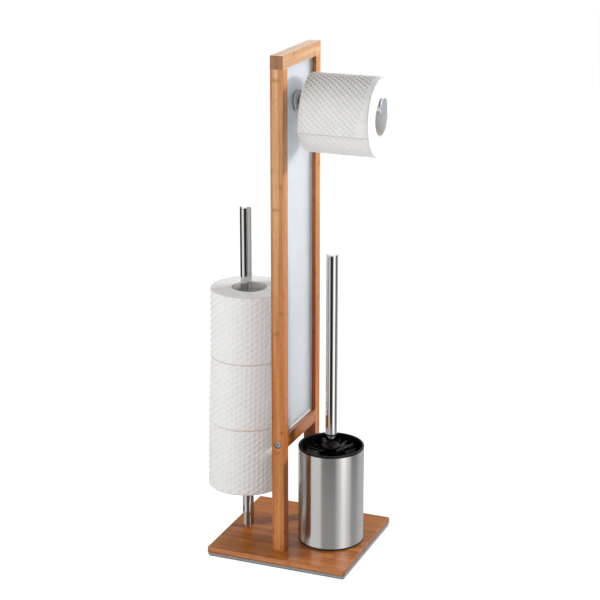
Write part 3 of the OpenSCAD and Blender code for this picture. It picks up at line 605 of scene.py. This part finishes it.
def tube_blank(radius, bore, width, sides, rounding, segments, cuts):
    """A standing thick ring: a cylinder whose ends are inset and opened, with its rims bevelled and its
    outer wall cut into rows."""
    deselect()
    bpy.ops.mesh.primitive_cylinder_add(vertices=sides, radius=radius, depth=width, end_fill_type="NGON")
    ring = bpy.context.object

    def on_rim(p, q):
        return abs(p.z - q.z) < 1e-6 and min(p.xy.length, q.xy.length) > radius * 0.99

    def on_bore(p, q):
        return abs(p.z - q.z) < 1e-6 and max(p.xy.length, q.xy.length) < (radius + bore) / 2

    def up_wall(p, q):
        return abs(p.z - q.z) > width / 2 and p.xy.length > radius * 0.99

    pick_faces(ring, lambda face: abs(face.normal.z) > 0.9)
    bpy.ops.mesh.inset(thickness=radius - bore, use_even_offset=False)
    bpy.ops.mesh.delete(type="FACE")
    pick_edges(ring, on_bore)
    bpy.ops.mesh.bridge_edge_loops()
    pick_edges(ring, on_rim)
    bpy.ops.mesh.bevel(offset=rounding, segments=segments, affect="EDGES")
    if cuts:
        pick_edges(ring, up_wall)
        bpy.ops.mesh.subdivide(number_cuts=cuts)
    face_outward(ring)
    return ring


def emboss(u, v, marks, pushed):
    """Strength from 0 to 1 of the embossing, u along the roll and v round it, in metres; each row is
    pushed along the roll by so much."""
    depth = np.zeros_like(u)
    for offset, long, wide, slant, deep in marks:
        lean = math.radians(slant)
        row = np.round(v / PITCH_V - offset) + offset
        for near_row in (row - 1, row, row + 1):
            along = u - near_row * pushed
            column = np.round(along / PITCH_U - offset) + offset
            du, dv = along - column * PITCH_U, v - near_row * PITCH_V
            long_way = du * math.cos(lean) + dv * math.sin(lean)
            short_way = dv * math.cos(lean) - du * math.sin(lean)
            groove = np.exp(-(short_way / (wide / 2)) ** 2) * np.exp(-(long_way / (long / 2)) ** 4)
            depth = np.maximum(depth, deep * groove)
    return depth


def press(piece, depths, deepest):
    """Presses the embossing in: the depths are a vertex group that Displace moves by."""
    group = piece.vertex_groups.new(name="emboss")
    for index, depth in enumerate(depths):
        if depth > 0.01:
            group.add([index], float(depth), "REPLACE")
    apply_modifier(piece, "DISPLACE", strength=-deepest, mid_level=0.0, vertex_group="emboss")
    piece.vertex_groups.clear()


def measure(node, lie_down):
    """Centre, width and outer radius of a roll or a core."""
    low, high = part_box(node)
    size = high - low
    width, radius = (size.x, size.y / 2) if lie_down else (size.z, size.x / 2)
    return (low + high) / 2, width, radius


def paper_roll(node, core_node, ends, shift, rounding, depth, lie_down=False):
    """A roll of embossed tissue, made standing on the origin and then put where its node is. Its marks
    are shifted along it by so many mm, so that no two rolls match."""
    centre, width, radius = measure(node, lie_down)
    core_low, core_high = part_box(core_node)
    roll = tube_blank(radius, (core_high.y - core_low.y) / 2, width, PAPER_SIDES,
                      rounding, segments=4, cuts=PAPER_CUTS)
    roll.data.materials.append(paper)
    roll.data.materials.append(ends)
    for face in roll.data.polygons:
        flat = abs(face.normal.z) > 0.8
        face.material_index = 1 if flat or face.center.xy.length < radius * WALL_FROM else 0

    co = points(roll)
    out = np.hypot(co[:, 0], co[:, 1])
    # A whole number of rows goes round
    rows = 2 * round(math.pi * radius / PITCH_V)
    around = np.arctan2(co[:, 1], co[:, 0]) * rows * PITCH_V / (2 * math.pi)
    along = co[:, 2] + shift * MM
    ridges = emboss(along, around, ROLL_RIDGES, PITCH_U / 2)
    grooves = emboss(along, around, ROLL_GROOVES, PITCH_U / 2)
    on_wall = np.clip((out / radius - MARKS_FROM) / (MARKS_FULL - MARKS_FROM), 0, 1)
    depths = np.clip(0.65 - 0.65 * ridges + 0.35 * grooves, 0, 1) * on_wall
    press(roll, depths, depth)
    # The depths also paint shade on the field and in the grooves, leaving the ridges light as painted
    # highlights
    add_share(roll, "relief_shade", depths)
    # The outermost edge of a standing roll, where it meets the next one, is drawn browner
    at_rim = np.clip((np.abs(co[:, 2]) - width / 2 + 0.9 * MM) / (0.5 * MM), 0, 1)
    at_rim *= (out > radius - 1.3 * MM) * (not lie_down)
    add_share(roll, "brown_rim", at_rim)
    roll.location = centre
    if lie_down:
        roll.rotation_euler = (0, math.radians(90), 0)
    return roll


def settle(piece, k):
    """Pushes a standing roll's foot and top aside, before its place is applied."""
    foot, top = (Vector((*push, 0)) * MM for push in LEAN[k])
    tall = max(spot.co.z for spot in piece.data.vertices)
    for spot in piece.data.vertices:
        share = (spot.co.z / tall + 1) / 2
        spot.co += foot * (1 - share) + top * share


def core_tube(node, wall_board, lie_down=False):
    """The cardboard core: its bore pale, its cut edges brown."""
    centre, width, radius = measure(node, lie_down)
    core = tube_blank(radius, radius - CORE_WALL, width, CORE_SIDES, 0.25 * MM, segments=2, cuts=0)
    core.data.materials.append(wall_board)
    core.data.materials.append(edge)
    for face in core.data.polygons:
        face.material_index = 1 if abs(face.normal.z) > 0.5 else 0
    core.location = centre
    if lie_down:
        core.rotation_euler = (0, math.radians(90), 0)
    return core


paper = tissue("tissue_paper_embossed", "F0F0EF", "E8E7E6", relief_shade_share=0.28)
# The loose sheet is the same tissue drawn greyer, with a larger share of painted shade
shaded_sheet_paper = tissue("tissue_paper_embossed_sheet_painted_shade", "E0DFDE", "D8D7D5", relief_shade_share=0.6)
board = grey_board("grey_board_wound", "CFCCC7", "DFDDD9")
# The hanging core is the same wound board drawn paler: painted light in its bore
lit_board = grey_board("grey_board_wound_painted_light", "EEEDEB", "F4F3F2")
edge = kraft_edge()

for k in (1, 2, 3):
    centre, _, radius = measure(f"spare_paper_{k}", False)
    ends = roll_ends(f"tissue_paper_cut_ends_{k}", centre, "Z", radius)
    roll = paper_roll(f"spare_paper_{k}", f"spare_core_{k}", ends,
                      shift=k, rounding=1.4 * MM, depth=1.3 * MM)
    settle(roll, k)
    done(roll, f"spare_roll_paper_{k}", f"spare_roll_{k}", [f"spare_paper_{k}"])
    core = core_tube(f"spare_core_{k}", board)
    settle(core, k)
    done(core, f"spare_roll_core_{k}", f"spare_roll_{k}", [f"spare_core_{k}"])


# Hanging roll and loose sheet, with angles round it from the far side over the top

SHEET_WRAP, SHEET_END = math.radians(168), math.radians(199)
SHEET_CUTS, SHEET_STEPS = 158, 256


def dent(angle):
    """How far the soft roll's left end is pushed in."""
    return np.interp(np.degrees(angle), [90, 130, 160, 182, 205], [0.0, 1.6, 1.8, 1.3, 0.0]) * MM


def dent_roll(roll, centre, width, radius):
    """Pushes the left end of the hanging roll in near the arm's neck, less and less towards its core."""
    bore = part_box("hanging_core")[1].z - centre.z
    left = centre.x - width / 2
    for spot in roll.data.vertices:
        away = Vector((spot.co.y - centre.y, spot.co.z - centre.z))
        outer = min(max((away.length - bore) / (radius - bore), 0), 1)
        near_end = min(max(1 - (spot.co.x - left) / (14 * MM), 0), 1)
        spot.co.x += float(dent(math.atan2(away.y, away.x) % (2 * math.pi))) * outer * near_end


def sheet_blank(centre, width, radius):
    """A strip spun over the top of the roll: one edge along X at the far end of the wrap, cut fine."""
    start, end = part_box("loose_sheet")[0].x, centre.x + width / 2 - 1.4 * MM
    first, reach = SHEET_END - SHEET_WRAP, radius + 0.75 * MM
    deselect()
    bpy.ops.mesh.primitive_plane_add(size=1)
    sheet = bpy.context.object
    clear_choice(sheet, "VERT")
    for spot in sheet.data.vertices:
        spot.select = spot.co.y > 0
    bpy.ops.object.mode_set(mode="EDIT")
    bpy.ops.mesh.delete(type="VERT")
    bpy.ops.object.mode_set(mode="OBJECT")
    for spot in sheet.data.vertices:
        spot.co = (start if spot.co.x < 0 else end, centre.y + reach * math.cos(first),
                   centre.z + reach * math.sin(first))
    pick_edges(sheet, lambda p, q: True)
    bpy.ops.mesh.subdivide(number_cuts=SHEET_CUTS)
    bpy.ops.mesh.select_all(action="SELECT")
    bpy.ops.mesh.spin(steps=SHEET_STEPS, angle=SHEET_WRAP, center=centre, axis=(-1, 0, 0))
    face_outward(sheet)
    return sheet


def loose_sheet(centre, width, radius):
    """The roll's free end, embossed apart from its ironed corner: its lower edge stands off the roll a
    little, and its left edge follows the dent."""
    sheet = sheet_blank(centre, width, radius)
    sheet.data.materials.append(shaded_sheet_paper)
    co = points(sheet)
    angle = np.arctan2(co[:, 2] - centre.z, co[:, 1] - centre.y) % (2 * math.pi)
    degrees = np.degrees(angle)
    across = (co[:, 0] - centre.x + width / 2) / width
    slant_edge = 0.93 - 0.12 * np.clip((degrees - 150) / 49, 0, 1)
    marks = emboss(co[:, 0], angle * radius, SHEET_GROOVES, -1.1 * MM)
    marks *= np.clip((slant_edge - across) / 0.015, 0, 1)
    press(sheet, marks, 0.5 * MM)
    # Painted shade: the marks are painted darker at the top, where the light grazes, the paper there is
    # painted in more shade, and a dark line is painted along the lower edge, where its lifted edge throws a
    # shadow
    painted_mark_shade = np.interp(degrees, [45, 70, 100, 130, 160], [0.5, 2.2, 2.1, 1.0, 0.45])
    painted_shade = np.interp(degrees, [60, 110, 150, 197.8, 198.3], [0.08, 0.05, 0.0, 0.0, 0.6])
    add_share(sheet, "relief_shade", marks * painted_mark_shade + painted_shade)

    left, right = co[:, 0].min(), co[:, 0].max()
    # Along its right edge it lies closer to the roll
    close = np.clip((co[:, 0] - right + 5 * MM) / (5 * MM), 0, 1) * 0.6 * MM
    lift = np.clip((degrees - 172) / 27, 0, 1) ** 2 * 2.2 * MM - close
    # The sheet is wound a little askew: its left edge swings in at the front and out at the lower corner
    askew = np.interp(degrees, [30, 100, 160, 199], [0.0, -0.6, 1.2, -1.2]) * MM
    askew = (askew + dent(angle)) * np.clip((right - co[:, 0]) / (right - left), 0, 1)
    for spot, up, aside in zip(sheet.data.vertices, lift, askew):
        out = Vector((0, spot.co.y - centre.y, spot.co.z - centre.z)).normalized()
        spot.co += out * float(up) + Vector((float(aside), 0, 0))
    apply_modifier(sheet, "SOLIDIFY", thickness=0.22 * MM, offset=-1)
    done(sheet, "hanging_roll_sheet", "hanging_roll", ["loose_sheet"])


centre, width, radius = measure("hanging_paper", True)
# The hanging roll meets no other roll, so its brown ring is put outside it
ends = roll_ends("tissue_paper_cut_ends_hanging", centre, "X", 2 * radius)
roll = paper_roll("hanging_paper", "hanging_core", ends,
                  shift=7, rounding=1.8 * MM, depth=0.45 * MM, lie_down=True)
done(roll, "hanging_roll_paper", "hanging_roll", ["hanging_paper"])
core = core_tube("hanging_core", lit_board, lie_down=True)
done(core, "hanging_roll_core", "hanging_roll", ["hanging_core"])
dent_roll(roll, centre, width, radius)
loose_sheet(centre, width, radius)


# Brush tufts

HUB_RADIUS = 9.0 * MM
TUFT_KINDS, BRISTLES_IN_TUFT = 4, 6
TUFT_ROWS, TUFTS_IN_ROW = 15, 20
# The lowest row points down by 14 degrees, and the top row up by 12
LOWEST_RISE, RISE_SPAN = -14, 26


def bristle(dice, longest):
    """One bristle along X, pushed aside and bent a little by chance."""
    spread_y, spread_z = dice.uniform(-1, 1), dice.uniform(-1, 1)
    length = longest * dice.uniform(0.93, 1.0)
    deselect()
    bpy.ops.mesh.primitive_cone_add(vertices=3, radius1=0.42 * MM, radius2=0.36 * MM, depth=length,
                                    end_fill_type="TRIFAN", location=(length / 2, 0, 0),
                                    rotation=(0, math.radians(90), 0))
    strand = bpy.context.object
    bpy.ops.object.transform_apply(location=True, rotation=True, scale=True)
    pick_edges(strand, lambda p, q: abs(p.x - q.x) > length / 2)
    bpy.ops.mesh.subdivide(number_cuts=2)
    bpy.ops.object.mode_set(mode="OBJECT")
    for spot in strand.data.vertices:
        share = spot.co.x / length
        spot.co.y += (0.9 * spread_y + 2.0 * spread_y * share ** 1.5) * MM
        spot.co.z += (0.9 * spread_z + 2.2 * spread_z * share ** 1.5) * MM - 1.2 * MM * share ** 2
    return strand


def brush_tufts():
    """Tufts of nylon bristles in rows round the hub, trimmed to a round form."""
    low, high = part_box("brush_bristles")
    middle, tip_radius = (low + high) / 2, (high.x - low.x) / 2
    dice = random.Random(5)
    kinds = [join([bristle(dice, tip_radius - HUB_RADIUS) for _ in range(BRISTLES_IN_TUFT)])
             for _ in range(TUFT_KINDS)]
    lowest, highest = low.z + 3 * MM, high.z - 3 * MM
    tufts = []
    for row in range(TUFT_ROWS):
        share = row / (TUFT_ROWS - 1)
        z = lowest + (highest - lowest) * (0.08 + 0.84 * share)
        for k in range(TUFTS_IN_ROW):
            tuft = kinds[dice.randrange(TUFT_KINDS)].copy()
            tuft.data = tuft.data.copy()
            bpy.context.collection.objects.link(tuft)
            turn = 2 * math.pi * (k + 0.5 * (row % 2)) / TUFTS_IN_ROW + dice.uniform(-0.05, 0.05)
            rise = math.radians(LOWEST_RISE + RISE_SPAN * share + dice.uniform(-4, 4))
            tuft.matrix_world = (Matrix.Translation((middle.x, middle.y, z))
                                 @ Matrix.Rotation(turn, 4, "Z") @ Matrix.Rotation(-rise, 4, "Y")
                                 @ Matrix.Translation((HUB_RADIUS - 0.5 * MM, 0, 0))
                                 @ Matrix.Rotation(dice.uniform(0, 6.28), 4, "X"))
            tufts.append(tuft)
    for kind in kinds:
        bpy.data.objects.remove(kind)
    whole = join(tufts)
    whole.data.materials.append(bristle_nylon())
    bpy.ops.object.transform_apply(location=True, rotation=True, scale=True)
    # No tip goes past the round form that the bristles are trimmed to
    for spot in whole.data.vertices:
        away = Vector((spot.co.x - middle.x, spot.co.y - middle.y))
        if away.length > tip_radius:
            away *= tip_radius / away.length
            spot.co.x, spot.co.y = middle.x + away.x, middle.y + away.y
        spot.co.z = min(max(spot.co.z, low.z), high.z + 1.5 * MM)
    done(whole, "brush_tufts", "brush", ["brush_bristles"], angle=60)


brush_tufts()


# Floor, light and camera, with bearings in degrees round the stand from the near side, right positive

# Browns of the painted reflections on the floor
BOARD_BROWN, FOOT_BROWN = "7E5636", "694A33"
# Painted reflections that the pole's foot mirrors from the floor round it, as (bearing round the pole, tone)
POLE_STREAKS = [(-105, BOARD_BROWN), (-100, "A6A39C"), (-79, "A6A39C"), (-56, "D3CBC2"), (-30, "CFC3B8"),
                (-22, "C2AB9E"), (-10, FOOT_BROWN), (48, FOOT_BROWN), (52, "D0B8A8"), (62, "D0B8A8"),
                (68, "6F442C")]
# What mirrors see of the room, as (bearing from the camera's, brightness)
ROOM = [(-180, 0.1), (-165, 0.05), (-88, 0.04), (-80, 1.1), (-40, 1.0), (-33, 0.15), (-26, 0.03), (12, 0.03),
        (20, 0.5), (30, 1.0), (38, 1.7), (44, 2.0), (50, 1.7), (58, 1.2), (66, 0.95), (71, 0.6), (76, 0.15),
        (97, 0.1), (106, 0.42), (126, 0.6), (146, 0.6), (165, 0.1)]
CAMERA_BEARING = 22
# How much of the floor's look is an even white glow, the rest taking light and shadow
EVEN_LIGHT = 0.88
# Where on the floor the painted reflections of the board's brown and of the streaks round the pole lie,
# in metres, and where the glowing floor that mirrors see at a share gives way to the room
BROWN_ALONG_X, BROWN_ALONG_Y = (-0.175, 0.03), (-0.045, 0.12)
STREAKS_REACH, STREAKS_END_X = 0.08, -0.02
NEAR_FLOOR, NEAR_FLOOR_SHARE = (0.42, 0.52), 0.6
LAMPS_AIM = Vector((0, 0, 0.38))
# The lens was fitted in pixels of the 600-pixel photograph
FOCAL_PIXELS, PICTURE_PIXELS, SENSOR_WIDTH = 1759.94, 600, 36


def grey(value):
    """A linear grey."""
    return (value, value, value, 1.0)


def ring_stops(tones):
    """Stops for a ramp that goes once round, from tones at their bearings."""
    return [(((bearing + 180) % 360) / 360, tone) for bearing, tone in tones]


def shown_to_camera(tree, path):
    """1 for what the camera sees, straight or through the glass."""
    return add(tree, "Math", (path.outputs["Is Camera Ray"], path.outputs["Is Transmission Ray"]),
               **LARGER_OF)


def floor():
    """A floor that is white and evenly lit to the camera, and that takes the stand's shadow. To mirrors it
    glows near the stand, with painted reflections of the board's brown, and further off shows the room
    through it."""
    deselect()
    bpy.ops.mesh.primitive_plane_add(size=60, location=(0, 0, -0.2 * MM))
    ground = bpy.context.object
    ground.name = "floor"
    material, tree, shader, spot = new_material("floor_white")
    tree.nodes.remove(shader)
    path = add(tree, "LightPath")
    matt = add(tree, "BsdfDiffuse", {"Color": grey(0.8)})
    glow = add(tree, "Emission", {"Color": grey(1.0), "Strength": 1.12})
    even_share = add(tree, "Math", (shown_to_camera(tree, path), EVEN_LIGHT), **TIMES)
    seen = add(tree, "MixShader", (even_share, matt, glow))

    # A painted reflection of the board's brown, on a part of the floor
    xyz = add(tree, "SeparateXYZ", [spot])
    x, y = xyz.outputs["X"], xyz.outputs["Y"]
    painted_board_reflection = 1.0
    for value, (low, high) in ((x, BROWN_ALONG_X), (y, BROWN_ALONG_Y)):
        painted_board_reflection = add(tree, "Math", (painted_board_reflection, add(tree, "Math", (value, low), **IS_OVER)), **TIMES)
        painted_board_reflection = add(tree, "Math", (painted_board_reflection, add(tree, "Math", (value, high), **IS_UNDER)), **TIMES)

    # Painted reflections round the pole's foot: mirrors see the board, and the room past it, as upright
    # streaks
    low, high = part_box("spare_pole")
    pole = (low + high) / 2
    from_x = add(tree, "Math", (x, pole.x), operation="SUBTRACT")
    from_y = add(tree, "Math", (y, pole.y), operation="SUBTRACT")
    turn = add(tree, "Math", (from_x, add(tree, "Math", (from_y, -1.0), **TIMES)), operation="ARCTAN2")
    streaks = set_stops(add(tree, "ValToRGB", [add(tree, "MapRange", (turn, -math.pi, math.pi))]),
                        ring_stops((bearing, linear(tone)) for bearing, tone in POLE_STREAKS))
    reach = add(tree, "Math", [add(tree, "Math", (add(tree, "Math", (from_x, from_x), **TIMES),
                                                  add(tree, "Math", (from_y, from_y), **TIMES)), **PLUS)],
                operation="SQRT")
    foot = add(tree, "Math", (add(tree, "Math", (reach, STREAKS_REACH), **IS_UNDER),
                              add(tree, "Math", (x, STREAKS_END_X), **IS_UNDER)), **TIMES)

    tone = add(tree, "Mix", (painted_board_reflection, grey(0.66), linear(BOARD_BROWN)), **TINT)
    # The floor's glow for mirrors: painted reflections of the board's brown and of the streaks round the
    # pole's foot, over grey
    lit = add(tree, "Emission", {"Color": add(tree, "Mix", (foot, tone, streaks), **TINT)})
    away = add(tree, "VectorMath", [spot], operation="LENGTH")
    near = add(tree, "MapRange", (away, *NEAR_FLOOR, NEAR_FLOOR_SHARE, 0.0), **EASED)
    for part in (painted_board_reflection, foot):
        near = add(tree, "Math", (near, part), **LARGER_OF)
    mirrored = add(tree, "MixShader", (near, add(tree, "BsdfTransparent"), lit))
    both = add(tree, "MixShader", (path.outputs["Is Glossy Ray"], seen, mirrored))
    fill(tree.nodes["Material Output"], {"Surface": both})
    ground.data.materials.append(material)


def foot_card():
    """A glowing brown card on the near side of the pole's foot that shows in mirrors only: a painted
    reflection of the dark board, which the pole mirrors there."""
    deselect()
    bpy.ops.mesh.primitive_plane_add(size=1, location=(-0.0745, -0.0164, 0.0412),
                                     rotation=(math.radians(90), 0, math.radians(23.8)))
    card = bpy.context.object
    card.name = "foot_card"
    card.scale = (12.6 * MM, 63.5 * MM, 1)
    bpy.ops.object.transform_apply(location=True, rotation=True, scale=True)
    material = bpy.data.materials.new("painted_reflection_card_brown")
    material.use_nodes = True
    material.node_tree.nodes.clear()
    glow = add(material.node_tree, "Emission", {"Color": linear(FOOT_BROWN)})
    add(material.node_tree, "OutputMaterial", {"Surface": glow})
    card.data.materials.append(material)
    card.visible_camera = card.visible_diffuse = card.visible_shadow = False
    card.visible_transmission = card.visible_volume_scatter = False


def lamp(name, towards, size, bright, distance=2.4):
    """A round lamp that doesn't show in mirrors. A white face that looks straight at it renders at the
    given brightness."""
    deselect()
    place = LAMPS_AIM + Vector(towards).normalized() * distance
    bpy.ops.object.light_add(type="AREA", location=place)
    light = bpy.context.object
    light.name = light.data.name = name
    light.data.shape = "DISK"
    light.data.size = size
    light.data.energy = bright * math.pi ** 2 * distance ** 2
    light.rotation_euler = (LAMPS_AIM - place).to_track_quat("-Z", "Y").to_euler()
    light.visible_glossy = False


def far_screen():
    """A white screen behind the stand that only shows as a shine: it whitens what is seen at a slant,
    such as the top of the upper rail."""
    deselect()
    wide, tall, radiance = 1.6, 0.36, 1.3
    bpy.ops.object.light_add(type="AREA", location=(-0.414, 1.02, 0.83))
    light = bpy.context.object
    light.name = light.data.name = "far_screen"
    light.data.shape = "RECTANGLE"
    light.data.size, light.data.size_y = wide, tall
    light.data.energy = radiance * math.pi * wide * tall
    light.rotation_euler = (math.radians(90), 0, math.radians(180 + CAMERA_BEARING))
    light.visible_camera = light.visible_diffuse = light.visible_transmission = False
    light.visible_volume_scatter = False


def studio():
    """The room: white to the camera, soft and even on the object, and for mirrors a ring of white
    screens and dark flags round the stand under a white ceiling."""
    world = bpy.data.worlds.new("studio")
    bpy.context.scene.world = world
    world.use_nodes = True
    tree = world.node_tree
    tree.nodes.clear()
    path = add(tree, "LightPath")
    xyz = add(tree, "SeparateXYZ", [add(tree, "TexCoord").outputs["Generated"]])
    x, y, z = xyz.outputs
    bearing = add(tree, "Math", (x, add(tree, "Math", (y, -1.0), **TIMES)), operation="ARCTAN2")
    brightest = max(bright for _, bright in ROOM)
    stops = ring_stops((at + CAMERA_BEARING, grey(bright / brightest)) for at, bright in ROOM)
    ring = set_stops(add(tree, "ValToRGB", [add(tree, "MapRange", (bearing, -math.pi, math.pi))]), stops)
    ring = add(tree, "Math", (ring, brightest), **TIMES)
    ceiling = add(tree, "MapRange", (z, 0.4, 0.8), **EASED)
    ring = add(tree, "Mix", (ceiling, ring, grey(1.3)), **TINT)
    bright = add(tree, "Mix", (path.outputs["Is Glossy Ray"], grey(0.15), ring), **TINT)
    bright = add(tree, "Mix", (shown_to_camera(tree, path), bright, grey(1.0)), **TINT)
    add(tree, "OutputWorld", {"Surface": add(tree, "Background", {"Color": bright, "Strength": 1.0})})


def camera():
    """The photograph's viewpoint, fitted on the object's corners."""
    data = bpy.data.cameras.new("camera")
    data.sensor_width = SENSOR_WIDTH
    data.lens = FOCAL_PIXELS / PICTURE_PIXELS * SENSOR_WIDTH
    data.clip_end = 20
    seer = bpy.data.objects.new("camera", data)
    bpy.context.collection.objects.link(seer)
    seer.location = (0.84866, -2.10792, 1.08312)
    seer.rotation_euler = (math.radians(90 - 17.721), 0, math.radians(21.935))
    bpy.context.scene.camera = seer


floor()
foot_card()
lamp("main_far_right", (0.75, 0.6, 0.25), size=0.4, bright=1.1)
lamp("spot_far_right_high", (0.49, 0.587, 0.643), size=0.16, bright=0.26, distance=2.2)
lamp("fill_left", (-0.8, -0.45, 0.25), size=1.4, bright=0.28)
lamp("fill_near", (0.15, -0.95, 0.1), size=1.2, bright=0.31)
lamp("fill_near_left_high", (-0.4, -0.7, 0.6), size=1.0, bright=0.3)
lamp("fill_top", (0.0, 0.05, 1.0), size=1.2, bright=0.11)
lamp("fill_far_left", (-0.6, 0.7, 0.4), size=0.8, bright=0.1)
far_screen()
studio()
camera()
bpy.context.scene.view_settings.view_transform = "Standard"
